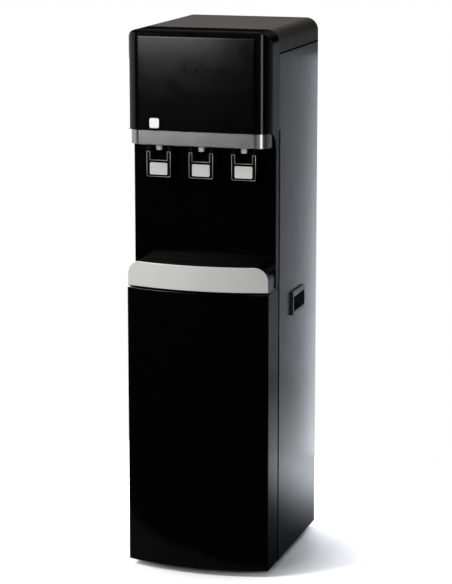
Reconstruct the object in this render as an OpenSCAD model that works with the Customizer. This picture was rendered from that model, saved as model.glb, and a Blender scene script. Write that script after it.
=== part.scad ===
// Free-standing three-tap water dispenser, filtered and plumbed in at the rear.
// Millimetres. The origin is on the floor under the middle of the bounding box.
// The front faces -Y, the taps run along X and +Z is up.

/* [Cabinet] */
// Overall width
body_w = 300; // [280:1:340]
// Depth of the steel cabinet, from the front seam to the rear edge
cabinet_d = 298; // [285:1:340]
// Height of the feet
foot_h = 12; // [10:1:25]
// Height of the side panels
side_h = 1057; // [1040:1:1150]
// Height of the lid above the side panels
lid_h = 48; // [40:1:70]
// Radius of the long upper edges of the lid and hood
lid_r = 26; // [12:1:34]
// Thickness of the steel sheet
sheet = 1.2; // [0.8:0.1:1.6]
// Width of the folded edges of the side panels
fold_w = 14; // [11:1:18]
// Wall of the plastic mouldings
wall = 3; // [2.4:0.1:3.6]
// Width of the shadow line between mouldings
groove_w = 1.2; // [0.6:0.1:1.6]
// Depth of the shadow line between mouldings
groove_d = 0.8; // [0.4:0.1:1]

/* [Hood] */
// Height of the hood
hood_h = 201; // [185:1:215]
// Depth of the hood in front of the seam
hood_d = 78; // [74:1:95]
// Radius of the upright corners of the hood
hood_r = 32; // [20:1:40]
// Radius of the top front edge of the hood
hood_top_r = 15; // [8:1:24]
// Height of the bright trim strip under the hood
strip_h = 29; // [22:1:36]
// Thickness of the trim strip
strip_t = 1.5; // [1:0.1:2.5]
// Step from the hood back to the trim strip
strip_inset = 3; // [2:0.1:5]
// Side of the square lock button
button_w = 20; // [14:1:24]
// Travel of the lock button
button_travel = 2; // [1:0.1:2.5]
// Radius of the indicator lights
light_r = 1.9; // [1:0.1:3]
// Distance between the indicator lights
light_pitch = 25; // [15:1:30]

/* [Taps] */
// Distance of the outer taps from the cabinet's sides
tap_side = 60.5; // [58:0.5:66]
// Distance of the nozzles in front of the seam
tap_d = 44; // [42:1:48]
// Outer radius of the nozzle
nozzle_r = 6; // [4.5:0.5:8]
// Bore radius of the nozzle
nozzle_bore_r = 4; // [2:0.5:4]
// Length of nozzle below the valve
nozzle_len = 11; // [8:1:16]
// Width of the valve body
valve_w = 32; // [26:1:34]
// Width of the lever
lever_w = 51; // [49:1:56]
// Height of the lever below its pivot
lever_drop = 77; // [70:1:90]
// Height of the lever's thick paddle frame
paddle_h = 52; // [46:1:56]
// Width of each lever arm
lever_arm_w = 7.5; // [5:0.5:7.5]
// Thickness of the lever
lever_t = 6; // [4:0.5:8]
// Height of the bright pad in the lever
pad_h = 24.5; // [18:0.5:28]
// Radius of the lever pivot pin
pivot_r = 1.5; // [1:0.1:2]
// Radial running clearance of pivots
run_gap = 0.05; // [0.02:0.01:0.09]

/* [Niche and tray] */
// Distance of the niche panel in front of the seam
niche_d = 22; // [16:1:26]
// Radius of the hollow under the hood, on the cheeks of the niche
cheek_r = 40; // [20:1:48]
// Height of the drip tray
tray_h = 51; // [40:1:60]
// Radius of the upper corners of the tray
tray_r = 28; // [15:1:34]
// Thickness of the bright tray front
fascia_t = 3; // [2:0.1:4]
// Width of a slot in the grille
slot_w = 4; // [3:0.5:6]
// Distance between grille slots
slot_pitch = 9; // [8:0.5:14]
// Thickness of the grille
grille_t = 3.6; // [2.4:0.1:5]

/* [Door] */
// Depth of the front, from the seam to the door's upright edges
front_d = 72; // [66:1:85]
// Height of the bow in the door and tray front
door_bow = 25; // [12:1:34]
// Height of the door
door_h = 579; // [560:1:590]
// Gap between the door and the cabinet
door_gap = 1.8; // [1.8:0.1:3]
// Radius of the hinge pins
hinge_r = 2.5; // [1.8:0.1:3]

/* [Side grips] */
// Length of the grip's frame
grip_l = 92; // [80:1:110]
// Height of the grip's frame
grip_h = 50; // [44:1:60]
// Depth of the grip cup inside the panel
grip_d = 36; // [28:1:42]
// Distance that the grip's frame stands out from the panel
grip_proud = 4.5; // [2:0.5:6]
// Distance of the grip behind the seam
grip_back = 95; // [88:1:115]
// Distance of the grip's middle below the tray shelf
grip_drop = 52.5; // [45:0.5:140]

/* [Works] */
// Radius of a filter cartridge
filter_r = 32; // [26:1:36]
// Length of a filter cartridge
filter_l = 296; // [220:1:330]
// Distance of the outer cartridges from the cabinet's sides
filter_side = 62; // [58:1:68]
// Radius of the cold tank
cold_r = 75; // [55:1:76]
// Thickness of the tank insulation
foam_t = 12; // [10:1:20]
// Radius of the hot tank
hot_r = 44; // [34:1:48]
// Space between the hot tank and the shelf above it
hot_clear = 80; // [60:1:120]
// Radius of the compressor shell
comp_r = 62; // [50:1:64]
// Height of the compressor shell
comp_h = 156; // [120:1:180]
// Outer radius of the condenser tube
coil_r = 2.5; // [2:0.1:3.5]
// Number of condenser tube passes, an even number
coil_passes = 16; // [10:2:18]
// Distance between condenser tube passes
coil_pitch = 40; // [32:1:40]
// Distance between condenser wires
wire_pitch = 10; // [8:1:16]
// Height of the rear service plate
service_h = 250; // [220:1:280]
// Radius of the quarter-inch water inlet bore
inlet_bore_r = 3.3; // [3.2:0.05:3.5]
// Radius of the bore for the mains lead
gland_bore_r = 4; // [3:0.1:5]

/* [Hidden] */
$fn = 48;
fine_fn = 96;
arc_fn = 360;
slack = 0.3;
hairline = 0.05;
eps = 1;

half_w = body_w / 2;
total_d = cabinet_d + front_d + door_bow;
y_front = -total_d / 2;
y_rear = total_d / 2;
y_seam = y_rear - cabinet_d;
y_edge = y_seam - front_d;
y_niche = y_seam - niche_d;
y_hood = y_seam - hood_d;
y_tap = y_seam - tap_d;
bow_r = (half_w * half_w + door_bow * door_bow) / (2 * door_bow);

door_lift = 1;
shelf_gap = 1.5;
shelf_t = 3;
base_t = 2;
z_base = foot_h;
z_floor = z_base + base_t;
z_side_top = z_base + side_h;
z_top = z_side_top + lid_h;
z_hood = z_top - hood_h;
z_strip = z_hood - strip_h;
z_door = z_base + door_lift;
z_door_top = z_door + door_h;
z_shelf = z_door_top + shelf_gap;
z_shelf_top = z_shelf + shelf_t;
z_tray = z_shelf_top + slack;
z_tray_top = z_tray + tray_h;

// Cabinet
inner_x = half_w - sheet;
y_fold = y_seam + sheet;
back_in = 28.7;
y_back = y_rear - back_in;
z_back = z_base + service_h;
partition_gap = 1;
y_partition = y_seam + grip_back - partition_gap - sheet;
shelf_in = 1;
shelf_back = 6;
foot_r = 18;
foot_taper = 3;
foot_in = 35;
foot_front = 25;
foot_rear = 30;
louvre_w = 90;
louvre_h = 5;
louvre_step = 22;
louvre_n = 6;
louvre_drop = 40;
louvre_gap = 40;
screw_r = 4;
screw_h = 2.4;
screw_in = 9;
screw_end = 12;

// Side grips: the frame's bands round the mouth, and the lip that the fingers hook behind
grip_y0 = y_seam + grip_back + slack;
grip_y1 = y_seam + grip_back + grip_l - slack;
grip_z0 = z_shelf - grip_drop - grip_h / 2 + slack;
grip_z1 = z_shelf - grip_drop + grip_h / 2 - slack;
grip_head = 11;
grip_sill = 7;
grip_fore = 7;
grip_aft = 2;
grip_lip = 8;

// Taps
tap_names = ["hot", "ambient", "cold"];
tap_pitch = half_w - tap_side;
pivot_up = 8;
pivot_fore = 1;
pivot_z = z_strip + pivot_up;
pivot_y = y_tap - pivot_fore;
valve_d = 28;
valve_below = 3;
valve_h = 54;
valve_flange = 6;
valve_tail = 1.5;
nozzle_cap = 2;
window_gap = 3;
eye_r = 4.5;
neck_w = 5.2;
neck_back = 2;
lever_z = pivot_z - lever_drop;
lever_corner_r = 4;
pad_margin = 4.5;
pad_side = 7;
pad_w = lever_w - 2 * pad_side;
pad_proud = 0.8;
pad_sink = 1.5;
pad_r = 3;
bar_over = 5.5;
bar_top = lever_z + pad_margin + pad_h + bar_over;

// Hood, trim and tap housing
hood_lip_h = 3;
housing_inset = strip_inset + strip_t;
light_up = 124;
light_z = z_hood + light_up;
button_r = 4;
button_proud = 0.8;
button_slack = 0.3;
button_rim = 1.5;
button_rim_t = 0.7;
button_clear = 0.5;
button_shift = 1.5;
button_x = button_shift - tap_pitch;
button_z = z_hood + hood_lip_h + button_clear + button_rim + button_w / 2;
y_rim = y_hood + wall + button_slack;

// Control board behind the hood's face
switch_w = 8;
board_t = 1.6;
board_gap = 5.5;
board_side = 17;
board_low = 7;
board_over = 15;
board_x0 = button_x - board_side;
board_x1 = light_pitch + board_side;
board_z0 = z_hood + board_low;
board_z1 = light_z + board_over;
y_board = y_hood + wall + board_gap;
y_switch = y_rim + button_rim_t + button_travel + slack;
boss_r = 3;
boss_in = 8;
boss_low = 42;

// Feed tubes
tube_r = 5;
tube_hole = 2;
tube_bend_r = 20;
tube_up = 12;
tube_z = z_hood + tube_up;

// Drip tray
tray_side = 1.5;
rim = 12;
rim_ledge = 4;
grille_slack = 0.4;
grille_border = 7;
grille_rib = 5;
rib_fore = 6;

// Hinge: the axis stands inside the door's left return, clear of the seam as it swings
hinge_in = 6;
hinge_back = 12;
hinge_x = -half_w + hinge_in;
hinge_y = y_seam - door_gap - hinge_back;
hinge_skin = 0.5;
hinge_boss_r = hinge_in - hinge_skin;
hinge_boss_h = 14;
hinge_pin_l = 10;
bracket_t = 3;
bracket_w = 13;
bracket_shift = 1;
bracket_fore = 8;
bracket_tail = 30;
catch_w = 10;
catch_h = 80;
catch_in = 2;
catch_drop = 110;
catch_z = z_door_top - catch_drop;
strike_t = 3;

// Filters, hung from the shelf
filter_names = ["sediment", "carbon", "membrane"];
filter_pitch = half_w - filter_side;
plate_t = 6;
plate_over = 16;
filter_y = (y_seam + y_partition - plate_t) / 2;
head_in = 2;
head_r = filter_r - head_in;
head_h = 50;
head_gap = 2;
head_drop = 55.5;
head_z = z_shelf - head_drop - head_h;
arm_w = 24;
arm_h = 20;
arm_z = head_z + (head_h - arm_h) / 2;
filter_z = head_z - head_gap - filter_l;
filter_neck_r = 14;
filter_neck_h = 24;
filter_foot = 8;
filter_shoulder = 6;
filter_shoulder_h = 10;
turn_bar_h = 12;
turn_bar_t = 8;
turn_bar_l = 1.4 * filter_r;

// Tanks
shelf_drop = 60;
z_upper_shelf = z_hood - shelf_drop;
cold_h = 160;
cold_side = 7;
cold_back = 40;
foam_r = cold_r + foam_t;
cold_x = inner_x - foam_r - cold_side;
cold_y = y_back - foam_r - cold_back;
hot_foam_t = 14;
hot_foam_r = hot_r + hot_foam_t;
hot_shift = 7;
hot_back = 51;
hot_x = hot_shift - tap_pitch;
hot_y = y_back - hot_foam_r - hot_back;
hot_h = z_upper_shelf - sheet - hot_clear - z_shelf_top;
tank_slack = 0.2;
tank_t = 1.2;
jacket_t = 8;

// Refrigeration
comp_x = -35;
comp_y = (y_partition + sheet + y_back) / 2;
comp_plate_t = 3;
comp_edge = 14;
comp_wall_h = 0.7 * comp_h;
comp_dome_drop = 1.1 * comp_r;
comp_well = 0.65 * comp_r;
comp_well_h = 0.9 * comp_wall_h;
comp_seam_z = 0.45 * comp_h;
comp_seam_w = 3;
comp_seam_h = 5;
mount_h = 12;
mount_r = 9;
mount_x = 58;
mount_y = 40;
coil_off = 13;
coil_in = 30;
coil_up = 40;
coil_y = y_back + sheet + coil_off;
coil_half = half_w - coil_in;
coil_z = z_back + coil_up;
coil_bend_r = coil_pitch / 2;
wire_t = 1.6;
wire_over = 20;
wire_in = 40;
wire_x = half_w - wire_in;
clip_w = 10;
clip_h = 14;
clip_end = 1.5 * coil_pitch;

// Rear services
plate_w = 93.8;
plate_x = inner_x - plate_w;
gland_in = 35;
gland_x = half_w - gland_in;
gland_up = 60;
gland_z = z_base + gland_up;
inlet_in = 65;
inlet_x = half_w - inlet_in;
inlet_drop = 55;
inlet_z = z_back - inlet_drop;
port_pitch = 75;
drain_z = inlet_z - port_pitch;
port_r = 9;
port_depth = 20;
port_out = 19;
port_flange = 4;
port_flange_t = 6;
inlet_bore_l = 16;
drain_step = 1;
drain_cap_r = 11;
drain_cap_l = 15;
gland_out = 12;
gland_tail = 4;
gland_flange = 3;

// Shared outlines

// Plan with rounded front corners, from y0 at the front back to y1
module plan_round(w, y0, y1, r) {
  intersection() {
    translate([-w / 2, y0]) square([w, y1 - y0]);
    union() {
      translate([-w / 2, y0 + r]) square([w, y1 - y0 - r]);
      translate([-w / 2 + r, y0]) square([w - 2 * r, y1 - y0]);
      for (side = [-1, 1]) translate([side * (w / 2 - r), y0 + r]) circle(r = r, $fn = fine_fn);
    }
  }
}

// Upright outline with rounded top corners, drawn with Z upwards
module top_round(w, z0, z1, r) {
  intersection() {
    translate([-w / 2, z0]) square([w, z1 - z0]);
    union() {
      translate([-w / 2, z0]) square([w, z1 - z0 - r]);
      translate([-w / 2 + r, z0]) square([w - 2 * r, z1 - z0]);
      for (side = [-1, 1]) translate([side * (w / 2 - r), z1 - r]) circle(r = r, $fn = fine_fn);
    }
  }
}

// Plan of the bowed front: the bow set back by inset, sides at half_x, straight back to y1
module bow_plan(inset, half_x, y1) {
  intersection() {
    translate([-half_x, y_front]) square([2 * half_x, y1 - y_front]);
    translate([0, y_front + bow_r]) circle(r = bow_r - inset, $fn = arc_fn);
  }
}

// Rectangle with four rounded corners, centred
module round_square(w, h, r) {
  square([w - 2 * r, h], center = true);
  square([w, h - 2 * r], center = true);
  for (x = [-1, 1], y = [-1, 1]) translate([x * (w / 2 - r), y * (h / 2 - r)]) circle(r = r);
}

// Box from its low to its high corner
module box(low, high) {
  translate(low) cube(high - low);
}

// Extrudes an upright X-Z outline from y0 back to y1
module along_y(y0, y1) {
  translate([0, y1, 0]) rotate([90, 0, 0]) linear_extrude(y1 - y0) children();
}

// Extrudes an upright Y-Z outline from x0 to x1
module along_x(x0, x1) {
  translate([x0, 0, 0]) rotate([90, 0, 90]) linear_extrude(x1 - x0) children();
}

// Extrudes a plan from z0 up to z1
module along_z(z0, z1) {
  translate([0, 0, z0]) linear_extrude(z1 - z0) children();
}

// Round bar along Y
module bar_y(x, z, r, y0, y1) {
  translate([x, y1, z]) rotate([90, 0, 0]) cylinder(r = r, h = y1 - y0);
}

function tap_x(i) = (i - 1) * tap_pitch;
function filter_x(i) = (i - 1) * filter_pitch;

// Cabinet

module base_plate() {
  color("dimgray") {
    box([-inner_x, y_fold, z_base], [inner_x, y_rear - sheet, z_floor]);
    box([-inner_x, y_fold, z_floor], [inner_x, y_fold + sheet, z_floor + fold_w]);
  }
}

module feet() {
  color("#202020")
    for (x = [-1, 1], y = [y_seam + foot_front, y_rear - foot_rear])
      translate([x * (half_w - foot_in), y, 0])
        rotate_extrude()
          polygon([[0, 0], [foot_r, 0], [foot_r, foot_h / 3], [foot_r - foot_taper, foot_h], [0, foot_h]]);
}

// Folded sheet with a window for the grip, for the right-hand side.
// Hairline cuts level with the window make it four plain pieces, so the window stays open in each.
module side_panel() {
  z0 = grip_z0 - slack;
  z1 = grip_z1 + slack;
  difference() {
    along_z(z_base, z_side_top)
      difference() {
        translate([half_w - fold_w, y_seam]) square([fold_w, cabinet_d]);
        translate([half_w - fold_w - eps, y_fold]) square([fold_w + eps - sheet, cabinet_d - 2 * sheet]);
      }
    box([half_w - fold_w - eps, grip_y0 - slack, z0], [half_w + eps, grip_y1 + slack, z1]);
    for (z = [z0 - hairline, z1])
      box([half_w - fold_w - eps, y_seam - eps, z], [half_w + eps, y_seam + cabinet_d + eps, z + hairline]);
  }
}

module left_side_panel() { color("#2b2c2e") mirror([1, 0, 0]) side_panel(); }
module right_side_panel() { color("#2b2c2e") side_panel(); }

// Recessed grip with a proud frame and a lip to hook the fingers behind, for the right-hand side
module grip_cup() {
  x0 = half_w - grip_d;
  x1 = half_w + grip_proud;
  lip_x = x1 - grip_lip;
  difference() {
    box([x0, grip_y0, grip_z0], [x1, grip_y1, grip_z1]);
    along_y(grip_y0 + grip_fore, grip_y1 - grip_aft)
      polygon([
        [x0 + wall, grip_z0 + grip_sill], [x1 + eps, grip_z0 + grip_sill], [x1 + eps, grip_z1 - grip_head],
        [lip_x, grip_z1 - grip_head], [lip_x, grip_z1 - wall], [x0 + wall, grip_z1 - wall]
      ]);
  }
}

module left_grip_cup() { color("#151515") mirror([1, 0, 0]) grip_cup(); }
module right_grip_cup() { color("#151515") grip_cup(); }

module back_panel() {
  color("#333436")
    difference() {
      box([-inner_x, y_back, z_back + slack], [inner_x, y_back + sheet, z_side_top]);
      for (x = [-louvre_gap / 2 - louvre_w, louvre_gap / 2], i = [0:louvre_n - 1])
        translate([x, y_back - eps, z_hood - louvre_drop + i * louvre_step])
          cube([louvre_w, sheet + 2 * eps, louvre_h]);
    }
}

module service_plate() {
  color("#333436")
    difference() {
      box([plate_x, y_back, z_floor], [inner_x, y_back + sheet, z_back]);
      for (p = [[inlet_x, inlet_z], [inlet_x, drain_z], [gland_x, gland_z]])
        bar_y(p[0], p[1], port_r + slack, y_back - eps, y_back + sheet + eps);
    }
}

module panel_screws() {
  y0 = y_back + sheet;
  color("silver") {
    for (x = [-1, 1], z = [z_back + screw_end, z_side_top - screw_end])
      bar_y(x * (half_w - screw_in), z, screw_r, y0, y0 + screw_h);
    for (z = [z_floor + screw_end, z_back - screw_end])
      bar_y(plate_x + screw_in, z, screw_r, y0, y0 + screw_h);
  }
}

module lid() {
  color("#1b1b1b")
    difference() {
      along_y(y_seam, y_rear) top_round(body_w, z_side_top, z_top, lid_r);
      along_y(y_seam - eps, y_rear - wall)
        top_round(body_w - 2 * wall, z_side_top - eps, z_top - wall, lid_r - wall);
      for (x = [-half_w, half_w - groove_d])
        box([x, y_seam - eps, z_side_top - eps], [x + groove_d, y_rear + eps, z_side_top + groove_w]);
    }
}

// Plan of the hood, set in by inset and closed at y1
module hood_plan(inset, y1) {
  plan_round(body_w - 2 * inset, y_hood + inset, y1, hood_r - inset);
}

// Outer form of the hood, set in by inset and closed at y1
module hood_form(inset, z0, y1) {
  w = body_w - 2 * inset;
  y0 = y_hood + inset;
  z1 = z_top - inset;
  r = hood_top_r - inset;
  intersection() {
    along_z(z0, z1) hood_plan(inset, y1);
    along_y(y0, y1) top_round(w, z0, z1, lid_r - inset);
    along_x(-w / 2, w / 2) {
      translate([y0, z0]) square([y1 - y0, z1 - z0 - r]);
      translate([y0 + r, z0]) square([y1 - y0 - r, z1 - z0]);
      translate([y0 + r, z1 - r]) circle(r = r, $fn = fine_fn);
    }
  }
}

module hood() {
  color("#0c0c0d")
    difference() {
      union() {
        difference() {
          union() {
            hood_form(0, z_hood, y_seam - groove_w);
            hood_form(groove_d, z_hood, y_seam);
          }
          hood_form(wall, z_hood + hood_lip_h, y_seam + eps);
          along_z(z_hood - eps, z_hood + hood_lip_h + eps) hood_plan(housing_inset, y_seam + eps);
        }
        for (x = [board_x0 + boss_in, board_x1 - boss_in], z = [board_z0 + boss_low, board_z1 - boss_in])
          bar_y(x, z, boss_r, y_hood + wall, y_board);
      }
      for (i = [-1:1]) bar_y(i * light_pitch, light_z, light_r + run_gap, y_hood - eps, y_hood + wall + eps);
      translate([button_x, 0, button_z])
        along_y(y_hood - eps, y_hood + wall + eps)
          round_square(button_w + 2 * button_slack, button_w + 2 * button_slack, button_r + button_slack);
    }
}

// Pan under the hood that carries the taps
module tap_housing() {
  top = z_hood + hood_lip_h;
  color("#111111")
    difference() {
      along_z(z_strip, top) hood_plan(housing_inset, y_niche);
      along_z(z_strip + wall, top + eps) hood_plan(housing_inset + wall, y_niche - wall);
      for (i = [0:2])
        translate([tap_x(i), y_tap, z_strip])
          cube([lever_w + 2 * window_gap, valve_d + 2 * window_gap, 4 * wall], center = true);
    }
}

module trim_strip() {
  color("#b9b9b6")
    along_z(z_strip, z_hood)
      intersection() {
        difference() {
          hood_plan(strip_inset, y_seam);
          hood_plan(housing_inset, y_seam + eps);
        }
        translate([-half_w, y_hood]) square([body_w, hood_r]);
      }
}

// Niche

module niche_panel() {
  color("#0b0b0b")
    box([-half_w + wall, y_niche, z_shelf_top], [half_w - wall, y_niche + wall, z_hood]);
}

// Side of the niche, hollowed forward under the hood, for the right-hand side
module niche_cheek() {
  difference() {
    union() {
      box([half_w - wall, y_niche, z_shelf_top], [half_w, y_seam, z_hood]);
      along_x(half_w - wall, half_w)
        difference() {
          translate([y_niche - cheek_r, z_hood - cheek_r]) square([cheek_r + eps, cheek_r]);
          translate([y_niche - cheek_r, z_hood - cheek_r]) circle(r = cheek_r, $fn = fine_fn);
        }
    }
    box([half_w - groove_d, y_seam - groove_w, z_shelf_top - eps],
        [half_w + eps, y_seam + eps, z_hood + eps]);
  }
}

module left_niche_cheek() { color("#1d1d1e") mirror([1, 0, 0]) niche_cheek(); }
module right_niche_cheek() { color("#1d1d1e") niche_cheek(); }

// Shelf under the drip tray, notched round the folds of the side panels
module tray_shelf() {
  front_x = half_w - shelf_in;
  neck_x = half_w - fold_w - shelf_in;
  y0 = y_edge + shelf_back;
  color("#222222")
    along_z(z_shelf, z_shelf_top)
      difference() {
        union() {
          translate([-front_x, y0]) square([2 * front_x, y_seam - slack - y0]);
          translate([-neck_x, y_seam - eps]) square([2 * neck_x, sheet + 2 * eps]);
          translate([-inner_x, y_fold + slack]) square([2 * inner_x, y_back - y_fold - slack]);
        }
        translate([hinge_x, hinge_y]) circle(r = hinge_r + run_gap);
      }
}

// Wall between the filter bay and the compressor, in front of the grip cups
module bay_partition() {
  color("#3a3b3d")
    box([-inner_x, y_partition, z_floor], [inner_x, y_partition + sheet, z_shelf]);
}

module upper_shelf() {
  color("#3a3b3d")
    difference() {
      box([-inner_x, y_fold, z_upper_shelf - sheet], [inner_x, y_back, z_upper_shelf]);
      translate([tap_x(0), hot_y, z_upper_shelf - sheet - eps])
        cylinder(r = tube_r + tube_hole, h = sheet + 2 * eps);
    }
}

// Door

module lower_hinge_bracket() {
  color("silver")
    difference() {
      translate([hinge_x + bracket_shift, 0, 0])
        box([-bracket_w / 2, hinge_y - bracket_fore, z_base - bracket_t],
            [bracket_w / 2, y_seam + bracket_tail, z_base]);
      translate([hinge_x, hinge_y, z_base - bracket_t - eps])
        cylinder(r = hinge_r + run_gap, h = bracket_t + 2 * eps);
    }
}

module hinge_pins() {
  color("silver")
    for (z = [[z_base - bracket_t, z_door + hinge_pin_l], [z_door_top - hinge_pin_l, z_shelf_top]])
      translate([hinge_x, hinge_y, z[0]]) cylinder(r = hinge_r, h = z[1] - z[0]);
}

module door_magnet() {
  color("#101010")
    box([half_w - catch_in - catch_w, y_seam - door_gap + slack, catch_z],
        [half_w - catch_in, y_seam, catch_z + catch_h]);
}

module door() {
  y1 = y_seam - door_gap;
  bore_l = hinge_pin_l + eps;
  color("#0a0a0a")
    difference() {
      union() {
        difference() {
          along_z(z_door, z_door_top) bow_plan(0, half_w, y1);
          along_z(z_door + wall, z_door_top - wall) bow_plan(wall, half_w - wall, y1 + eps);
        }
        for (z = [z_door, z_door_top - hinge_boss_h])
          translate([hinge_x, hinge_y, z]) cylinder(r = hinge_boss_r, h = hinge_boss_h);
      }
      for (z = [z_door - eps, z_door_top - bore_l])
        translate([hinge_x, hinge_y, z]) cylinder(r = hinge_r + run_gap, h = bore_l + eps);
    }
}

module door_strike() {
  y1 = y_seam - door_gap;
  color("silver")
    box([half_w - wall - catch_w, y1 - strike_t, catch_z], [half_w - wall, y1, catch_z + catch_h]);
}

// Drip tray

// Opening in the top of the tray, set in by inset
module tray_mouth(inset) {
  bow_plan(fascia_t + rim + inset, half_w - tray_side - tray_r - inset, y_niche - slack - wall - inset);
}

module tray_outline() {
  top_round(body_w - 2 * tray_side, z_tray, z_tray_top, tray_r);
}

module drip_tray() {
  color("#141414")
    difference() {
      intersection() {
        along_y(y_front, y_niche - slack) tray_outline();
        along_z(z_tray, z_tray_top) bow_plan(fascia_t, half_w, y_niche);
      }
      along_z(z_tray + wall, z_tray_top + eps) tray_mouth(rim_ledge);
      along_z(z_tray_top - grille_t - slack, z_tray_top + eps) tray_mouth(0);
    }
}

module tray_fascia() {
  color("#c9c9c4")
    intersection() {
      along_y(y_front - eps, y_niche) tray_outline();
      along_z(z_tray, z_tray_top)
        difference() {
          bow_plan(0, half_w, y_niche);
          translate([0, y_front + bow_r]) circle(r = bow_r - fascia_t, $fn = arc_fn);
        }
    }
}

module drip_grille() {
  half_n = floor((half_w - tray_side - tray_r - grille_border) / slot_pitch);
  rib_y = (y_niche + y_edge) / 2 - rib_fore;
  color("#101010")
    along_z(z_tray_top - grille_t, z_tray_top)
      difference() {
        tray_mouth(grille_slack);
        intersection() {
          tray_mouth(grille_border);
          for (i = [-half_n:half_n])
            translate([i * slot_pitch - slot_w / 2, y_front]) {
              square([slot_w, rib_y - grille_rib / 2 - y_front]);
              translate([0, rib_y + grille_rib / 2 - y_front]) square([slot_w, y_niche - rib_y]);
            }
        }
      }
}

// Taps

module valve(i) {
  top = z_strip - valve_below + valve_h;
  color("#1a1a1a")
    translate([tap_x(i), y_tap, 0])
      difference() {
        union() {
          box([-valve_w / 2, -valve_d / 2, z_strip - valve_below], [valve_w / 2, valve_d / 2, top]);
          box([-valve_w / 2, -valve_d / 2 - valve_flange, z_strip + wall],
              [valve_w / 2, valve_d / 2 + window_gap + valve_tail, z_strip + 2 * wall]);
        }
        translate([-half_w, pivot_y - y_tap, pivot_z]) rotate([0, 90, 0])
          cylinder(r = pivot_r + run_gap, h = body_w);
      }
}

module nozzle(i) {
  z1 = z_strip - valve_below;
  color("ivory")
    translate([tap_x(i), y_tap, z1 - nozzle_len])
      difference() {
        cylinder(r = nozzle_r, h = nozzle_len);
        translate([0, 0, -eps]) cylinder(r = nozzle_bore_r, h = nozzle_len - nozzle_cap + eps);
      }
}

module pivot_pin(i) {
  color("silver")
    translate([tap_x(i) - lever_w / 2, pivot_y, pivot_z]) rotate([0, 90, 0])
      cylinder(r = pivot_r, h = lever_w);
}

// Forked paddle that hangs from the pivot on two necks, with the bright pad let into its face
module lever(i) {
  y0 = pivot_y - lever_t / 2;
  y1 = y0 + lever_t;
  inner = lever_w / 2 - lever_arm_w;
  paddle_top = lever_z + paddle_h;
  neck_in = (lever_arm_w - neck_w) / 2;
  color("#121212")
    translate([tap_x(i), 0, 0])
      difference() {
        union() {
          along_y(y0, y1)
            difference() {
              rotate(180) top_round(lever_w, -paddle_top, -lever_z, lever_corner_r);
              translate([-inner, bar_top]) square([2 * inner, paddle_h]);
            }
          for (x = [-lever_w / 2, inner]) {
            box([x + neck_in, y0 + neck_back, paddle_top - eps], [x + lever_arm_w - neck_in, y1, pivot_z]);
            translate([x, pivot_y, pivot_z]) rotate([0, 90, 0]) cylinder(r = eye_r, h = lever_arm_w);
          }
        }
        translate([-half_w, pivot_y, pivot_z]) rotate([0, 90, 0]) cylinder(r = pivot_r + run_gap, h = body_w);
        translate([0, 0, lever_z + pad_margin + pad_h / 2])
          along_y(y0 - eps, y0 + pad_sink) round_square(pad_w, pad_h, pad_r);
      }
}

module lever_pad(i) {
  y0 = pivot_y - lever_t / 2;
  color("#c4c4c0")
    translate([tap_x(i), 0, lever_z + pad_margin + pad_h / 2])
      along_y(y0 - pad_proud, y0 + pad_sink) round_square(pad_w, pad_h, pad_r);
}

// Feed tube from a valve straight back to the cold tank
module straight_tube(i) {
  color("whitesmoke")
    difference() {
      bar_y(tap_x(i), tube_z, tube_r, y_tap + valve_d / 2, cold_y);
      translate([cold_x, cold_y, z_upper_shelf]) cylinder(r = foam_r + tank_slack, h = z_top, $fn = fine_fn);
    }
}

// Feed tube from the hot valve back and down to the hot tank
module hot_tube() {
  z_tank = z_shelf_top + hot_h;
  color("whitesmoke") {
    bar_y(tap_x(0), tube_z, tube_r, y_tap + valve_d / 2, hot_y - tube_bend_r);
    translate([tap_x(0), hot_y - tube_bend_r, tube_z - tube_bend_r])
      rotate([90, 0, 90]) rotate_extrude(angle = 90) translate([tube_bend_r, 0]) circle(r = tube_r);
    translate([tap_x(0), hot_y, z_tank]) cylinder(r = tube_r, h = tube_z - tube_bend_r - z_tank);
  }
}

// Controls

module control_board() {
  color("darkgreen") {
    box([board_x0, y_board, board_z0], [board_x1, y_board + board_t, board_z1]);
    box([button_x - switch_w / 2, y_switch, button_z - switch_w / 2],
        [button_x + switch_w / 2, y_board, button_z + switch_w / 2]);
  }
}

module indicator_lights() {
  color("#303030")
    for (i = [-1:1]) bar_y(i * light_pitch, light_z, light_r, y_hood, y_board);
}

module lock_button() {
  color("white")
    translate([button_x, 0, button_z]) {
      along_y(y_hood - button_proud, y_rim + button_rim_t) round_square(button_w, button_w, button_r);
      along_y(y_rim, y_rim + button_rim_t)
        round_square(button_w + 2 * button_rim, button_w + 2 * button_rim, button_r);
    }
}

// Water treatment

module filter_manifold() {
  color("#d8d8d4")
    difference() {
      union() {
        box([-filter_pitch - plate_over, y_partition - plate_t, head_z],
            [filter_pitch + plate_over, y_partition, head_z + head_h]);
        for (i = [0:2])
          translate([filter_x(i), 0, 0]) {
            translate([0, filter_y, head_z]) cylinder(r = head_r, h = head_h);
            box([-arm_w / 2, filter_y, arm_z], [arm_w / 2, y_partition, arm_z + arm_h]);
          }
      }
      for (i = [0:2])
        translate([filter_x(i), filter_y, head_z - eps])
          cylinder(r = filter_neck_r + slack, h = filter_neck_h + eps);
    }
}

// Cartridge with a bayonet neck above and a bar to turn it by below
module filter(i) {
  neck_top = filter_l + filter_neck_h;
  color("white")
    translate([filter_x(i), filter_y, filter_z]) {
      rotate_extrude()
        polygon([
          [0, 0], [filter_r - filter_foot, 0], [filter_r, filter_foot],
          [filter_r, filter_l - filter_shoulder_h], [filter_r - filter_shoulder, filter_l],
          [filter_neck_r, filter_l], [filter_neck_r, neck_top], [0, neck_top]
        ]);
      translate([-turn_bar_l / 2, -turn_bar_t / 2, -turn_bar_h])
        cube([turn_bar_l, turn_bar_t, turn_bar_h + eps]);
    }
}

// Tanks

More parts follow.
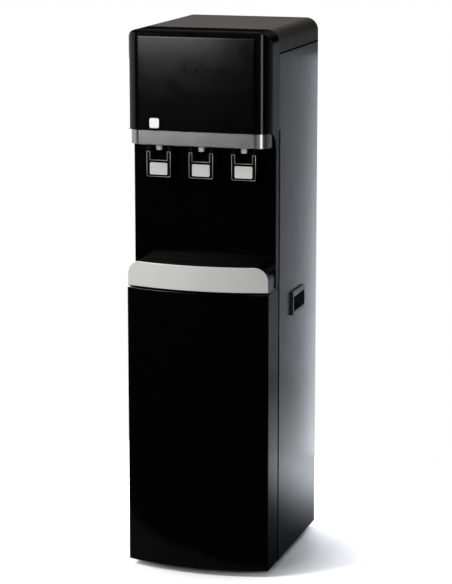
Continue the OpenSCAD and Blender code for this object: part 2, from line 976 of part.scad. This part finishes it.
module cold_tank_foam() {
  h = cold_h + 2 * foam_t;
  color("#efefef")
    translate([cold_x, cold_y, z_upper_shelf])
      difference() {
        cylinder(r = foam_r, h = h, $fn = fine_fn);
        translate([0, 0, foam_t]) cylinder(r = cold_r, h = cold_h, $fn = fine_fn);
      }
}

// Open-topped steel reservoir inside the insulation
module cold_tank() {
  color("silver")
    translate([cold_x, cold_y, z_upper_shelf + foam_t + tank_slack])
      difference() {
        cylinder(r = cold_r - tank_slack, h = cold_h - 2 * tank_slack, $fn = fine_fn);
        translate([0, 0, tank_t]) cylinder(r = cold_r - tank_slack - tank_t, h = cold_h, $fn = fine_fn);
      }
}

// Hot tank in its insulated jacket, open below where it stands on the shelf
module hot_tank() {
  shoulder = hot_h - hot_foam_t;
  color("gainsboro")
    translate([hot_x, hot_y, z_shelf_top])
      rotate_extrude($fn = fine_fn)
        polygon([
          [hot_foam_r - jacket_t, 0], [hot_foam_r, 0], [hot_foam_r, shoulder], [hot_r, hot_h], [0, hot_h],
          [0, hot_h - jacket_t], [hot_r - jacket_t / 2, hot_h - jacket_t],
          [hot_foam_r - jacket_t, shoulder - jacket_t / 2]
        ]);
}

// Refrigeration

// Domed shell on a plate with four rubber mounts, open below
module compressor() {
  z0 = z_floor + mount_h;
  color("#161616")
    translate([comp_x, comp_y, 0])
      difference() {
        union() {
          for (x = [-1, 1], y = [-1, 1])
            translate([x * mount_x, y * mount_y, z_floor]) cylinder(r = mount_r, h = mount_h);
          box([-mount_x - comp_edge, -mount_y - comp_edge, z0],
              [mount_x + comp_edge, mount_y + comp_edge, z0 + comp_plate_t]);
          translate([0, 0, z0 + comp_plate_t])
            rotate_extrude($fn = fine_fn) {
              square([comp_r, comp_wall_h]);
              translate([0, comp_seam_z]) square([comp_r + comp_seam_w, comp_seam_h]);
              intersection() {
                translate([0, comp_wall_h - comp_dome_drop]) circle(r = norm([comp_r, comp_dome_drop]));
                translate([0, comp_wall_h]) square([comp_r, comp_r]);
              }
            }
        }
        box([-comp_well, -comp_well, z0 - eps], [comp_well, comp_well, z0 + comp_well_h]);
      }
}

// Serpentine condenser tube: straight passes joined by half-round bends
module condenser_tube() {
  color("#1c1c1c")
    translate([0, coil_y, coil_z]) {
      for (i = [0:coil_passes - 1])
        translate([-coil_half, 0, i * coil_pitch]) rotate([0, 90, 0]) cylinder(r = coil_r, h = 2 * coil_half);
      for (i = [0:coil_passes - 2])
        translate([i % 2 == 0 ? coil_half : -coil_half, 0, (i + 0.5) * coil_pitch])
          rotate([90, 0, 0]) rotate([0, 0, i % 2 == 0 ? -90 : 90])
            rotate_extrude(angle = 180) translate([coil_bend_r, 0]) circle(r = coil_r);
      for (i = [0, coil_passes - 1])
        translate([-coil_half, 0, i * coil_pitch]) rotate([90, 0, 0])
          cylinder(r = coil_r, h = coil_y - y_back - sheet);
    }
}

// Upright wires on both faces of the condenser tube, with the clips that hold it to the back panel
module condenser_wires() {
  n = floor(wire_x / wire_pitch);
  z0 = coil_z - wire_over;
  z1 = coil_z + (coil_passes - 1) * coil_pitch + wire_over;
  color("#1c1c1c") {
    for (i = [-n:n], side = [-1, 1]) {
      y0 = coil_y + side * (coil_r + wire_t / 2) - wire_t / 2;
      box([i * wire_pitch - wire_t / 2, y0, z0], [i * wire_pitch + wire_t / 2, y0 + wire_t, z1]);
    }
    for (x = [-1, 1], z = [z0 + clip_end, z1 - clip_end])
      translate([x * (n - 1) * wire_pitch, 0, z])
        box([-clip_w / 2, y_back + sheet, -clip_h / 2], [clip_w / 2, coil_y - coil_r - wire_t, clip_h / 2]);
  }
}

// Rear services

module water_inlet() {
  y0 = y_back + sheet;
  y1 = y0 + port_out;
  color("#dcdcd8")
    difference() {
      union() {
        bar_y(inlet_x, inlet_z, port_r, y_back - port_depth, y1);
        bar_y(inlet_x, inlet_z, port_r + port_flange, y0, y0 + port_flange_t);
        bar_y(inlet_x, drain_z, port_r - drain_step, y_back - port_depth, y0 + eps);
        bar_y(inlet_x, drain_z, drain_cap_r, y0, y0 + drain_cap_l);
      }
      bar_y(inlet_x, inlet_z, inlet_bore_r, y1 - inlet_bore_l, y1 + eps);
    }
}

module cord_gland() {
  y0 = y_back + sheet;
  y1 = y0 + gland_out;
  color("#0d0d0d")
    difference() {
      union() {
        bar_y(gland_x, gland_z, port_r, y_back - gland_tail, y1);
        bar_y(gland_x, gland_z, port_r + gland_flange, y0, y0 + gland_flange);
      }
      bar_y(gland_x, gland_z, gland_bore_r, y_back - gland_tail - eps, y1 + eps);
    }
}

base_plate();
feet();
left_side_panel();
right_side_panel();
left_grip_cup();
right_grip_cup();
back_panel();
service_plate();
panel_screws();
lid();
hood();
tap_housing();
trim_strip();
niche_panel();
left_niche_cheek();
right_niche_cheek();
tray_shelf();
bay_partition();
upper_shelf();
lower_hinge_bracket();
hinge_pins();
door_magnet();
door();
door_strike();
drip_tray();
tray_fascia();
drip_grille();
for (i = [0:2]) {
  valve(i);
  nozzle(i);
  pivot_pin(i);
  lever(i);
  lever_pad(i);
  filter(i);
}
hot_tube();
straight_tube(1);  // ambient_tube
straight_tube(2);  // cold_tube
control_board();
indicator_lights();
lock_button();
filter_manifold();
cold_tank();
cold_tank_foam();
hot_tank();
compressor();
condenser_tube();
condenser_wires();
water_inlet();
cord_gland();
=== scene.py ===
"""Looks of the three-tap water dispenser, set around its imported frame."""

import math

import bpy
from mathutils import Matrix, Quaternion, Vector


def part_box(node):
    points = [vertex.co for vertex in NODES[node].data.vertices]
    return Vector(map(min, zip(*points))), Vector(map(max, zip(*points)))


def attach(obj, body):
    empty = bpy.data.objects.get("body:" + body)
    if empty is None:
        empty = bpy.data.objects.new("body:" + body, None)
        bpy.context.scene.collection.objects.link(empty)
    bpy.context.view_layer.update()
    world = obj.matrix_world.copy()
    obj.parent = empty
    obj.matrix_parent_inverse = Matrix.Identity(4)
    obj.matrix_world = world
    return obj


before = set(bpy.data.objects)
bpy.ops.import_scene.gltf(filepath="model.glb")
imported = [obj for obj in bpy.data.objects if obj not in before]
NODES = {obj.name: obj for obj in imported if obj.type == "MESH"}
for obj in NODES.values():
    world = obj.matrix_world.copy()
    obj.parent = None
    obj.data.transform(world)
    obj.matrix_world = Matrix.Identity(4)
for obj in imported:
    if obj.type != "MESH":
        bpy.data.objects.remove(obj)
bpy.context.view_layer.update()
TAPS = ("hot", "ambient", "cold")

# Camera, in metres and degrees, with the photograph's frame
CAMERA_PLACE = Vector((1.3636, -4.4117, 1.5157))
CAMERA_AZIMUTH = math.radians(17.09)
CAMERA_ELEVATION = math.radians(11.74)
SENSOR_MM = 36.0
FOCAL_PIXELS = 2250.0
PHOTO_HEIGHT = 584.0

# Colours, linear
GLOSS_BLACK = (0.0006, 0.0006, 0.0007)
SATIN_BLACK = (0.007, 0.007, 0.0075)
LID_BLACK = (0.118, 0.108, 0.1)
SIDE_GREY = (0.026, 0.027, 0.03)
SHEET_GREY = (0.3, 0.31, 0.32)
STRIP_SILVER = (0.66, 0.66, 0.645)
FASCIA_SILVER = (0.62, 0.62, 0.59)
PAD_SILVER = (0.6, 0.6, 0.58)
# Silver for the painted highlight round the paddles' edges
HIGHLIGHT_SILVER = (0.55, 0.55, 0.545)
IVORY = (0.9, 0.88, 0.8)
WHITE = (0.88, 0.88, 0.87)
STEEL = (0.56, 0.56, 0.55)
RUBBER = (0.018, 0.018, 0.018)
BOARD_GREEN = (0.015, 0.11, 0.04)
LENS = (0.0008, 0.0008, 0.001)
TUBE_MILK = (0.74, 0.76, 0.75)
FOAM_WHITE = (0.8, 0.8, 0.77)
ENAMEL_BLACK = (0.012, 0.012, 0.013)
FLOOR_WHITE = (0.86, 0.86, 0.86)
# The floor's painted shadow, as gloss sees it
FLOOR_PAINTED_SHADOW = (0.06, 0.06, 0.06)
PLAIN_LIGHT = (1.0, 1.0, 1.0)
COOL_LIGHT = (0.86, 0.92, 1.0)

# Finishes: range of the noise in use, fineness of the gloss, strength and detail of the grain
NOISE_LOW = 0.3
NOISE_HIGH = 0.7
GLOSS_FINENESS = 4.0
GRAIN_STRENGTH = 0.6
GRAIN_DETAIL = 2.0

# Edge roundings, in metres and radians
WELD_GAP = 0.00001
FLAT_ANGLE = math.radians(0.5)
EDGE_ANGLE = math.radians(40.0)
EDGE_STEPS = 3
EDGE_WIDE = 0.0012
EDGE_SOFT = 0.0008
EDGE_FINE = 0.0005
EDGE_THIN = 0.0003

# Dark strips as painted shadow in the seams, and silver lines as painted highlight round each forked
# paddle, in metres
SEAM_SHADOW_T = 0.0003
SEAM_SHADOW_W = 0.006
SEAM_SHADOW_LAP = 0.0016
HIGHLIGHT_R = 0.0006
HIGHLIGHT_THIN = 0.5
HIGHLIGHT_FULL = 1.6
HIGHLIGHT_STEPS = 2
FORK_ARM = 0.0075
FORK_T = 0.006
FORK_TOP = 0.052
FORK_SILL = 0.0345
FORK_CORNER = 0.004
FORK_STEPS = 6

# Studio: levels of the room, and the floor's lift, its painted shadow and painted pool of light as gloss
# sees it, and its outline
ROOM_DIM = 0.006
ROOM_LOW = 0.16
ROOM_LOW_FROM = 0.05
ROOM_LOW_BY = -0.1
ROOM_HIGH = 0.2
ROOM_HIGH_FROM = 0.2
ROOM_HIGH_BY = 0.6
ROOM_REAR_FROM = -0.3
ROOM_REAR_BY = 0.8
# The lift, seen by the camera only, falls away near the object: painted shade round its foot
LIFT_NEAR = 0.0
LIFT_FAR = 1.0
LIFT_FROM = 0.18
LIFT_BY = 0.42
# Gloss sees the floor with painted shadow in front of the object and a painted pool of light behind it,
# fading further back
FLOOR_PALE_WAY = (-2.2, 1.0, 0.0)
FLOOR_PALE_FROM = -0.33
FLOOR_PALE_BY = 0.07
FLOOR_FRONT = 0.1
FLOOR_REAR = 0.42
FLOOR_FADE_FROM = 0.66
FLOOR_FADE_BY = 1.35
FLOOR_FADE = 0.2
FLOOR_OUTLINE = (
    (-1.8, -0.4), (-0.44, -0.38), (-0.05, -0.345), (0.17, -0.235), (1.1, -0.2),
    (1.1, 1.6), (0.32, 1.6), (0.32, 0.74), (-1.8, 0.74),
)

# Softboxes: name, place, target, width and height, watts, roll in degrees, colour
MIDDLE = (0.0, 0.0, 0.75)
SOFTBOXES = (
    ("key", (-2.6, -1.95, 3.5), MIDDLE, (1.2, 2.0), 228.0, 0.0, PLAIN_LIGHT),
    ("fill", (1.7, -3.9, 1.9), MIDDLE, (1.5, 1.0), 55.0, 0.0, PLAIN_LIGHT),
    ("front_card", (-1.59, -3.2, 1.36), (-1.59, 0.0, 1.36), (1.4, 1.14), 19.0, 0.0, PLAIN_LIGHT),
    ("right_card", (1.86, -1.84, 0.6), (0.13, -0.17, 0.6), (0.5, 1.5), 5.5, 0.0, PLAIN_LIGHT),
    ("left_card", (-1.85, 0.2, 0.65), (0.0, 0.2, 0.65), (2.8, 1.3), 5.0, 0.0, PLAIN_LIGHT),
    ("rear_card", (-0.35, 0.75, 0.39), (-0.35, 0.0, 0.39), (1.3, 1.14), 13.9, -2.0, COOL_LIGHT),
    ("floor_light", (0.19, 0.56, 0.36), (0.19, 0.56, 0.0), (0.25, 0.25), 2.2, 0.0, COOL_LIGHT),
)


# Materials

def scaled(colour, factor):
    """A colour made lighter or darker, with an alpha of 1."""
    return tuple(min(1.0, c * factor) for c in colour) + (1.0,)


def noise(tree, coords, scale, detail=3.0):
    """A noise texture on the given coordinates."""
    node = tree.nodes.new("ShaderNodeTexNoise")
    node.inputs["Scale"].default_value = scale
    node.inputs["Detail"].default_value = detail
    tree.links.new(coords, node.inputs["Vector"])
    return node.outputs["Fac"]


def ramp(tree, value, start, end, low, high):
    """Maps a value from start..end to low..high."""
    node = tree.nodes.new("ShaderNodeMapRange")
    node.inputs["From Min"].default_value = start
    node.inputs["From Max"].default_value = end
    node.inputs["To Min"].default_value = low
    node.inputs["To Max"].default_value = high
    tree.links.new(value, node.inputs["Value"])
    return node.outputs["Result"]


def times(tree, first, second):
    """The product of two values."""
    node = tree.nodes.new("ShaderNodeMath")
    node.operation = "MULTIPLY"
    tree.links.new(first, node.inputs[0])
    tree.links.new(second, node.inputs[1])
    return node.outputs["Value"]


def spread(tree, value, low, high):
    """Maps a noise value to a range."""
    return ramp(tree, value, NOISE_LOW, NOISE_HIGH, low, high)


def surface(name, colour, rough, metal=0.0, mottle=0.1, mottle_scale=9.0, rough_spread=0.05,
            grain_scale=900.0, grain_depth=0.00003, stretch=(1.0, 1.0, 1.0), specular=0.5):
    """A finish with broad colour drift, uneven gloss and a fine grain, all in object space."""
    material = bpy.data.materials.new(name)
    material.use_nodes = True
    tree = material.node_tree
    shader = tree.nodes["Principled BSDF"]
    shader.inputs["Metallic"].default_value = metal
    shader.inputs["Specular IOR Level"].default_value = specular

    place = tree.nodes.new("ShaderNodeTexCoord").outputs["Object"]
    mapping = tree.nodes.new("ShaderNodeMapping")
    mapping.inputs["Scale"].default_value = stretch
    tree.links.new(place, mapping.inputs["Vector"])
    coords = mapping.outputs["Vector"]

    mix = tree.nodes.new("ShaderNodeMix")
    mix.data_type = "RGBA"
    mix.inputs["A"].default_value = scaled(colour, 1.0 - mottle)
    mix.inputs["B"].default_value = scaled(colour, 1.0 + mottle)
    tree.links.new(spread(tree, noise(tree, coords, mottle_scale), 0.0, 1.0), mix.inputs["Factor"])
    tree.links.new(mix.outputs["Result"], shader.inputs["Base Color"])

    sheen = noise(tree, coords, mottle_scale * GLOSS_FINENESS)
    gloss = spread(tree, sheen, rough - rough_spread, rough + rough_spread)
    tree.links.new(gloss, shader.inputs["Roughness"])

    bump = tree.nodes.new("ShaderNodeBump")
    bump.inputs["Strength"].default_value = GRAIN_STRENGTH
    bump.inputs["Distance"].default_value = grain_depth
    tree.links.new(noise(tree, coords, grain_scale, GRAIN_DETAIL), bump.inputs["Height"])
    tree.links.new(bump.outputs["Normal"], shader.inputs["Normal"])
    return material


def make_materials():
    """Every finish of the object, by its use."""
    brushed = (1.0, 1.0, 30.0)
    smooth = {"grain_scale": 2600.0, "grain_depth": 0.000004, "mottle": 0.03, "rough_spread": 0.006}
    polished = {"grain_scale": 220.0, "grain_depth": 0.000004, "mottle": 0.05, "rough_spread": 0.015}
    return {
        "hood": surface("hood_black", GLOSS_BLACK, 0.12, **polished),
        "door": surface("door_black", GLOSS_BLACK, 0.13, **polished),
        "niche": surface("niche_black", GLOSS_BLACK, 0.16, specular=0.12, **polished),
        "lever": surface("lever_black", GLOSS_BLACK, 0.2, **polished),
        "tray": surface("tray_black", GLOSS_BLACK, 0.26, specular=0.25, **polished),
        # Silver painted highlight on the paddles' edges, mirroring the lamps
        "edge_highlight": surface("painted_highlight_silver", HIGHLIGHT_SILVER, 0.3, metal=0.9, **smooth),
        "satin": surface("satin_black", SATIN_BLACK, 0.42, grain_scale=1500.0, grain_depth=0.00004),
        "lid": surface("lid_black", LID_BLACK, 0.6, mottle=0.1, rough_spread=0.03, grain_scale=1300.0,
                       grain_depth=0.00005, stretch=(1.0, 6.0, 1.0), specular=0.14),
        "side": surface("side_paint", SIDE_GREY, 0.17, mottle=0.03, rough_spread=0.008, grain_scale=1400.0,
                        grain_depth=0.000005),
        "sheet": surface("inner_sheet", SHEET_GREY, 0.4, metal=0.3, grain_scale=700.0),
        "strip": surface("strip_silver", STRIP_SILVER, 0.24, metal=1.0, **smooth),
        "fascia": surface("fascia_silver", FASCIA_SILVER, 0.42, metal=0.2, **smooth),
        "pad": surface("pad_silver", PAD_SILVER, 0.4, metal=0.2, **smooth),
        "ivory": surface("ivory_plastic", IVORY, 0.3, mottle=0.04, grain_scale=600.0, grain_depth=0.00001),
        "button": surface("button_white", WHITE, 0.28, mottle=0.03, grain_scale=600.0, grain_depth=0.00001),
        "steel": surface("plain_steel", STEEL, 0.28, metal=1.0, mottle=0.08, stretch=brushed),
        # A dull black that reflects nothing: the painted shadow of the strips over the seams
        "seam_shadow": surface("painted_seam_shadow", GLOSS_BLACK, 0.9, specular=0.0),
        "rubber": surface("rubber_black", RUBBER, 0.75, grain_scale=1200.0, grain_depth=0.00008,
                          specular=0.3),
        "board": surface("circuit_board", BOARD_GREEN, 0.45, mottle=0.35, mottle_scale=120.0),
        "lens": surface("smoked_lens", LENS, 0.4, mottle=0.05, specular=0.0),
        "tube": surface("milky_tube", TUBE_MILK, 0.35, mottle=0.05),
        "filter": surface("filter_white", WHITE, 0.25, mottle=0.04, grain_scale=300.0, grain_depth=0.00001),
        "foam": surface("foam_white", FOAM_WHITE, 0.85, mottle=0.06, grain_scale=260.0, grain_depth=0.0004),
        "enamel": surface("enamel_black", ENAMEL_BLACK, 0.35, grain_scale=600.0, grain_depth=0.00004),
        "fitting": surface("fitting_white", FOAM_WHITE, 0.4, mottle=0.05, grain_scale=900.0),
    }


def finish_of():
    """Which finish each CAD node takes."""
    table = {
        "hood": ["hood"],
        "door": ["door"],
        "niche": ["niche_panel", "left_niche_cheek", "right_niche_cheek"],
        "satin": ["tap_housing", "tray_shelf", "left_grip_cup", "right_grip_cup"],
        "tray": ["drip_tray", "drip_grille"],
        "lid": ["lid"],
        "side": ["left_side_panel", "right_side_panel", "back_panel", "service_plate"],
        "sheet": ["base_plate", "bay_partition", "upper_shelf"],
        "strip": ["trim_strip"],
        "fascia": ["tray_fascia"],
        "button": ["lock_button"],
        "steel": ["panel_screws", "lower_hinge_bracket", "hinge_pins", "door_strike", "cold_tank"],
        "rubber": ["feet", "door_magnet", "cord_gland"],
        "board": ["control_board"],
        "lens": ["indicator_lights"],
        "filter": ["sediment_filter", "carbon_filter", "membrane_filter"],
        "foam": ["cold_tank_foam", "hot_tank"],
        "enamel": ["compressor", "condenser_tube", "condenser_wires"],
        "fitting": ["filter_manifold", "water_inlet"],
    }
    of_tap = {
        "satin": "valve",
        "ivory": "nozzle",
        "steel": "pivot_pin",
        "lever": "lever",
        "pad": "lever_pad",
        "tube": "tube",
    }
    for use, part in of_tap.items():
        table.setdefault(use, []).extend(f"{tap}_{part}" for tap in TAPS)
    return table


def dress(materials):
    """Gives every CAD node its finish."""
    for use, names in finish_of().items():
        for name in names:
            slots = NODES[name].data.materials
            slots.clear()
            slots.append(materials[use])


# Edges

def soften(name, width):
    """Rounds a node's sharp edges a little, as its mould or press would."""
    node = NODES[name]
    weld = node.modifiers.new("weld", "WELD")
    weld.merge_threshold = WELD_GAP
    flat = node.modifiers.new("flat", "DECIMATE")
    flat.decimate_type = "DISSOLVE"
    flat.angle_limit = FLAT_ANGLE
    bevel = node.modifiers.new("edge", "BEVEL")
    bevel.width = width
    bevel.segments = EDGE_STEPS
    bevel.limit_method = "ANGLE"
    bevel.angle_limit = EDGE_ANGLE
    bevel.harden_normals = True
    node.modifiers.new("normals", "WEIGHTED_NORMAL")


def soften_all():
    """Rounds the nodes' edges, by width."""
    widths = {
        EDGE_WIDE: ["door", "lock_button"],
        EDGE_SOFT: ["lid", "tray_fascia", "drip_tray", "left_grip_cup", "right_grip_cup", "feet"],
        EDGE_FINE: ["tap_housing", "left_niche_cheek", "right_niche_cheek", "water_inlet", "cord_gland"],
        EDGE_THIN: ["trim_strip", "drip_grille"],
    }
    for tap in TAPS:
        widths[EDGE_SOFT].append(f"{tap}_nozzle")
        widths[EDGE_SOFT].append(f"{tap}_lever")
        widths[EDGE_FINE].append(f"{tap}_lever_pad")
    for width, names in widths.items():
        for name in names:
            soften(name, width)


# Painted shadow in the seams, and painted highlight on the paddles

def fit(name, data, material, body):
    """Puts a piece in the scene, on its body and with its finish."""
    piece = bpy.data.objects.new(name, data)
    bpy.context.scene.collection.objects.link(piece)
    data.materials.append(material)
    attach(piece, body)


def slab(name, low, high, material, body):
    """A plain block between two corners."""
    points = [(x, y, z) for x in (low[0], high[0]) for y in (low[1], high[1]) for z in (low[2], high[2])]
    faces = [(0, 1, 3, 2), (4, 6, 7, 5), (0, 4, 5, 1), (2, 3, 7, 6), (0, 2, 6, 4), (1, 5, 7, 3)]
    mesh = bpy.data.meshes.new(name)
    mesh.from_pydata(points, [], faces)
    fit(name, mesh, material, body)


def add_seam_shadows(material):
    """Dark strips over the seams in front of and above each side panel: painted shadow, where the seams
    would be shaded.
    """
    for side in ("left", "right"):
        low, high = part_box(f"{side}_side_panel")
        if side == "left":
            x0, x1 = low.x - SEAM_SHADOW_T, low.x
        else:
            x0, x1 = high.x, high.x + SEAM_SHADOW_T
        cheek_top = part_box(f"{side}_niche_cheek")[1].z
        front_low = (x0, low.y, low.z)
        front_high = (x1, low.y + SEAM_SHADOW_W, cheek_top)
        slab(f"{side}_front_seam_shadow", front_low, front_high, material, "cabinet")
        top_low = (x0, low.y, high.z - SEAM_SHADOW_LAP)
        top_high = (x1, high.y, high.z + SEAM_SHADOW_LAP)
        slab(f"{side}_lid_seam_shadow", top_low, top_high, material, "cabinet")


def fork_path(low, high):
    """Front outline of a forked paddle as (x, z) points, set in by the radius of its painted highlight."""
    x0 = low.x + HIGHLIGHT_R
    x1 = high.x - HIGHLIGHT_R
    z0 = low.z + HIGHLIGHT_R
    top = low.z + FORK_TOP - HIGHLIGHT_R
    sill = low.z + FORK_SILL - HIGHLIGHT_R
    inner0 = low.x + FORK_ARM - HIGHLIGHT_R
    inner1 = high.x - FORK_ARM + HIGHLIGHT_R
    r = FORK_CORNER - HIGHLIGHT_R
    turn = [math.radians(90.0 * i / FORK_STEPS) for i in range(FORK_STEPS + 1)]
    left = [(x0 + r - r * math.cos(a), z0 + r - r * math.sin(a)) for a in turn]
    right = [(x1 - r + r * math.sin(a), z0 + r - r * math.cos(a)) for a in turn]
    notch = [(x1, top), (inner1, top), (inner1, sill), (inner0, sill), (inner0, top)]
    return [(x0, top)] + left + right + notch


def add_painted_highlights(material):
    """A silver line round the front of each forked paddle as a painted highlight on its black edges; it
    mirrors the lamps, and thins towards the foot so that the highlight fades there.
    """
    for tap in TAPS:
        low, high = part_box(f"{tap}_lever")
        face = (low.y + high.y) / 2.0 - FORK_T / 2.0
        path = fork_path(low, high)
        curve = bpy.data.curves.new(f"{tap}_lever_painted_highlight", "CURVE")
        curve.dimensions = "3D"
        curve.bevel_depth = HIGHLIGHT_R
        curve.bevel_resolution = HIGHLIGHT_STEPS
        line = curve.splines.new("POLY")
        line.points.add(len(path) - 1)
        for point, (x, z) in zip(line.points, path):
            # Thinner towards the foot, so the painted highlight fades downwards
            rise = (z - low.z) / FORK_TOP
            point.co = (x, face, z, 1.0)
            point.radius = HIGHLIGHT_THIN + (HIGHLIGHT_FULL - HIGHLIGHT_THIN) * rise * rise
        line.use_cyclic_u = True
        fit(f"{tap}_lever_painted_highlight", curve, material, f"{tap}_paddle")


# Studio

def aim(obj, place, target, roll):
    """Puts an object at place with its -Z axis towards target, rolled about that axis."""
    obj.location = place
    turn = (Vector(target) - Vector(place)).to_track_quat("-Z", "Y")
    obj.rotation_euler = (turn @ Quaternion((0.0, 0.0, 1.0), roll)).to_euler()


def softbox(name, place, target, size, watts, roll, colour):
    """A rectangular studio light."""
    data = bpy.data.lights.new(name, "AREA")
    data.shape = "RECTANGLE"
    data.size, data.size_y = size
    data.energy = watts
    data.color = colour
    lamp = bpy.data.objects.new(name, data)
    bpy.context.scene.collection.objects.link(lamp)
    aim(lamp, place, target, math.radians(roll))


def background_rays(tree, path):
    """1 for the rays that show the plain background, straight or through something clear."""
    seen = tree.nodes.new("ShaderNodeMath")
    seen.operation = "MAXIMUM"
    tree.links.new(path.outputs["Is Camera Ray"], seen.inputs[0])
    tree.links.new(path.outputs["Is Transmission Ray"], seen.inputs[1])
    return seen.outputs["Value"]


def make_world():
    """A dim room that is plain white to the camera, and that gloss sees lighter above and behind."""
    world = bpy.data.worlds.new("studio")
    bpy.context.scene.world = world
    world.use_nodes = True
    tree = world.node_tree
    tree.nodes.clear()
    direction = tree.nodes.new("ShaderNodeTexCoord").outputs["Generated"]
    split = tree.nodes.new("ShaderNodeSeparateXYZ")
    tree.links.new(direction, split.inputs["Vector"])
    low = ramp(tree, split.outputs["Z"], ROOM_LOW_FROM, ROOM_LOW_BY, 0.0, ROOM_LOW)
    high = ramp(tree, split.outputs["Z"], ROOM_HIGH_FROM, ROOM_HIGH_BY, 0.0, ROOM_HIGH)
    rear = ramp(tree, split.outputs["Y"], ROOM_REAR_FROM, ROOM_REAR_BY, 0.0, 1.0)
    both = tree.nodes.new("ShaderNodeMath")
    tree.links.new(low, both.inputs[0])
    tree.links.new(high, both.inputs[1])
    path = tree.nodes.new("ShaderNodeLightPath")
    shine = times(tree, rear, path.outputs["Is Glossy Ray"])
    level = tree.nodes.new("ShaderNodeMath")
    level.operation = "MULTIPLY_ADD"
    level.inputs[2].default_value = ROOM_DIM
    tree.links.new(both.outputs["Value"], level.inputs[0])
    tree.links.new(shine, level.inputs[1])
    room = tree.nodes.new("ShaderNodeBackground")
    room.inputs["Color"].default_value = COOL_LIGHT + (1.0,)
    tree.links.new(level.outputs["Value"], room.inputs["Strength"])
    white = tree.nodes.new("ShaderNodeBackground")
    white.inputs["Color"].default_value = PLAIN_LIGHT + (1.0,)
    either = tree.nodes.new("ShaderNodeMixShader")
    tree.links.new(background_rays(tree, path), either.inputs["Fac"])
    tree.links.new(room.outputs["Background"], either.inputs[1])
    tree.links.new(white.outputs["Background"], either.inputs[2])
    output = tree.nodes.new("ShaderNodeOutputWorld")
    tree.links.new(either.outputs["Shader"], output.inputs["Surface"])


def floor_material():
    """Pale paper, lifted to white where the camera sees it; the lift falls away close to the object, which
    paints shade round its foot over the real shadow.

    Gloss sees it dark in front of the object as painted shadow, pale behind as a painted pool of light, and
    fading further back.
    """
    material = surface("floor_paper", FLOOR_WHITE, 0.7, mottle=0.01, grain_depth=0.00002)
    tree = material.node_tree
    shader = tree.nodes["Principled BSDF"]
    lift = tree.nodes.new("ShaderNodeEmission")
    both = tree.nodes.new("ShaderNodeAddShader")
    tree.links.new(shader.outputs["BSDF"], both.inputs[0])
    tree.links.new(lift.outputs["Emission"], both.inputs[1])
    path = tree.nodes.new("ShaderNodeLightPath")
    either = tree.nodes.new("ShaderNodeMixShader")
    tree.links.new(background_rays(tree, path), either.inputs["Fac"])
    place = tree.nodes.new("ShaderNodeTexCoord").outputs["Object"]
    away = tree.nodes.new("ShaderNodeVectorMath")
    away.operation = "LENGTH"
    tree.links.new(place, away.inputs[0])
    # Least lift near the object: painted shade round its foot, over the real shadow
    far = ramp(tree, away.outputs["Value"], LIFT_FROM, LIFT_BY, LIFT_NEAR, LIFT_FAR)
    tree.links.new(far, lift.inputs["Strength"])
    along = tree.nodes.new("ShaderNodeVectorMath")
    along.operation = "DOT_PRODUCT"
    along.inputs[1].default_value = FLOOR_PALE_WAY
    tree.links.new(place, along.inputs[0])
    split = tree.nodes.new("ShaderNodeSeparateXYZ")
    tree.links.new(place, split.inputs["Vector"])
    # Painted shadow in front of the object and a painted pool of light behind it, fading further back, for
    # gloss only
    across = ramp(tree, along.outputs["Value"], FLOOR_PALE_FROM, FLOOR_PALE_BY, 0.0, 1.0)
    rise = ramp(tree, split.outputs["Y"], FLOOR_FRONT, FLOOR_REAR, 0.0, 1.0)
    fade = ramp(tree, split.outputs["Y"], FLOOR_FADE_FROM, FLOOR_FADE_BY, 1.0, FLOOR_FADE)
    pale = times(tree, times(tree, across, rise), fade)
    shade = tree.nodes.new("ShaderNodeMix")
    shade.data_type = "RGBA"
    shade.inputs["A"].default_value = FLOOR_PAINTED_SHADOW + (1.0,)
    shade.inputs["B"].default_value = FLOOR_WHITE + (1.0,)
    tree.links.new(pale, shade.inputs["Factor"])
    unseen = tree.nodes.new("ShaderNodeBsdfDiffuse")
    tree.links.new(shade.outputs["Result"], unseen.inputs["Color"])
    tree.links.new(unseen.outputs["BSDF"], either.inputs[1])
    tree.links.new(both.outputs["Shader"], either.inputs[2])
    tree.links.new(either.outputs["Shader"], tree.nodes["Material Output"].inputs["Surface"])
    return material


def make_floor():
    """A sheet of pale paper, cut close past the object's front and longer at the rear right."""
    mesh = bpy.data.meshes.new("floor")
    mesh.from_pydata([(x, y, 0.0) for x, y in FLOOR_OUTLINE], [], [list(range(len(FLOOR_OUTLINE)))])
    floor = bpy.data.objects.new("floor", mesh)
    bpy.context.scene.collection.objects.link(floor)
    mesh.materials.append(floor_material())


def make_camera():
    """The photograph's camera."""
    data = bpy.data.cameras.new("camera")
    data.sensor_width = SENSOR_MM
    data.lens = FOCAL_PIXELS * SENSOR_MM / PHOTO_HEIGHT
    back = Vector((
        math.sin(CAMERA_AZIMUTH) * math.cos(CAMERA_ELEVATION),
        -math.cos(CAMERA_AZIMUTH) * math.cos(CAMERA_ELEVATION),
        math.sin(CAMERA_ELEVATION),
    ))
    right = Vector((math.cos(CAMERA_AZIMUTH), math.sin(CAMERA_AZIMUTH), 0.0))
    up = back.cross(right)
    camera = bpy.data.objects.new("camera", data)
    bpy.context.scene.collection.objects.link(camera)
    camera.matrix_world = Matrix.Translation(CAMERA_PLACE) @ Matrix((right, up, back)).transposed().to_4x4()
    bpy.context.scene.camera = camera


def make_studio():
    """Camera, floor and lights."""
    bpy.context.scene.view_settings.view_transform = "Standard"
    make_camera()
    make_world()
    make_floor()
    for box in SOFTBOXES:
        softbox(*box)


materials = make_materials()
dress(materials)
soften_all()
add_seam_shadows(materials["seam_shadow"])
add_painted_highlights(materials["edge_highlight"])
make_studio()
